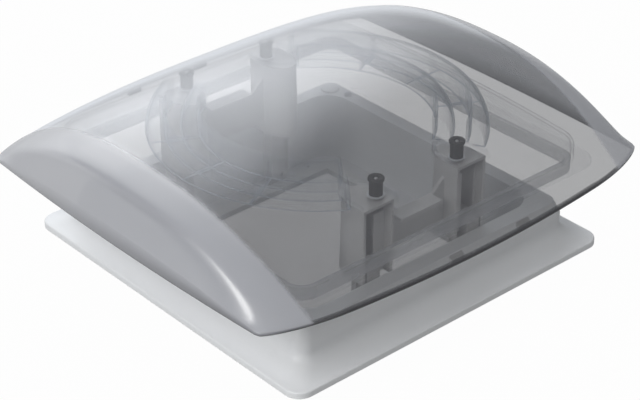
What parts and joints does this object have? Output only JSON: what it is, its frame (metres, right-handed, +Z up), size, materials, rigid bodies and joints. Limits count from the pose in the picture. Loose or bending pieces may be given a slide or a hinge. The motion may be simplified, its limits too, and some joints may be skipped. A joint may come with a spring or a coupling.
{
  "type": "caravan roof vent",
  "caption": "Square rising roof vent: clear dome with frosted ends on guided lift brackets, inner pane, curved louvres, sealed base frame and hinged fly screen.",
  "frame": {"origin": "middle of the neck's lower rim, which is the lowest part", "axes": "+Z up and out of the roof; +X towards the right lift bracket; +Y along the dome's longer side, away from the fly screen's hinge"},
  "size_m": [0.4162, 0.446, 0.204],
  "materials": {
    "frame_white": "satin moulded",
    "gasket_foam": "closed-cell foam",
    "guide_grey": "satin moulded",
    "screw_steel": "zinc plated",
    "fitting_white": "satin moulded",
    "fitting_grey": "satin moulded",
    "dome_smoke": "clear smoked centre, frosted ends",
    "pad_rubber": "smooth",
    "pane_clear": "clear gloss",
    "seal_rubber": "smooth",
    "louvre_clear": "clear gloss",
    "bracket_grey": "satin moulded",
    "sleeve_rubber": "ribbed",
    "washer_clear": "clear",
    "screen_white": "satin moulded",
    "net_fabric": "woven mesh"
  },
  "bodies": {
    "root": {"base_frame": "frame_white", "roof_gasket": "gasket_foam", "guide_right_back": "guide_grey", "guide_right_front": "guide_grey", "guide_left_back": "guide_grey", "guide_left_front": "guide_grey", "guide_screws": "screw_steel", "stop_pins": "screw_steel", "deck_plug": "fitting_white", "vent_disc": "fitting_grey"},
    "lift": {"outer_dome": "dome_smoke", "rim_pads": "pad_rubber", "inner_pane": "pane_clear", "pane_seal": "seal_rubber", "louvre_back": "louvre_clear", "louvre_front": "louvre_clear", "bracket_right": "bracket_grey", "bracket_left": "bracket_grey", "rubber_sleeve_right_back": "sleeve_rubber", "rubber_sleeve_right_front": "sleeve_rubber", "rubber_sleeve_left_back": "sleeve_rubber", "rubber_sleeve_left_front": "sleeve_rubber", "dome_studs": "screw_steel", "stud_nuts": "screw_steel", "sleeve_washers": "washer_clear"},
    "screen": {"screen_frame": "screen_white", "screen_net": "net_fabric", "hinge_pins": "screw_steel"},
    "latch": {"screen_latch": "fitting_white"}
  },
  "joints": [
    {"name": "dome_lift", "type": "slide", "parent": "root", "child": "lift", "axis": [0, 0, 1], "range_m": [-0.048, 0]},
    {"name": "screen_hinge", "type": "hinge", "parent": "root", "child": "screen", "pos_m": [0, -0.112, 0.0055], "axis": [1, 0, 0], "range_deg": [-100, 0]},
    {"name": "screen_latch", "type": "slide", "parent": "screen", "child": "latch", "axis": [0, 1, 0], "range_m": [0, 0.005]}
  ]
}
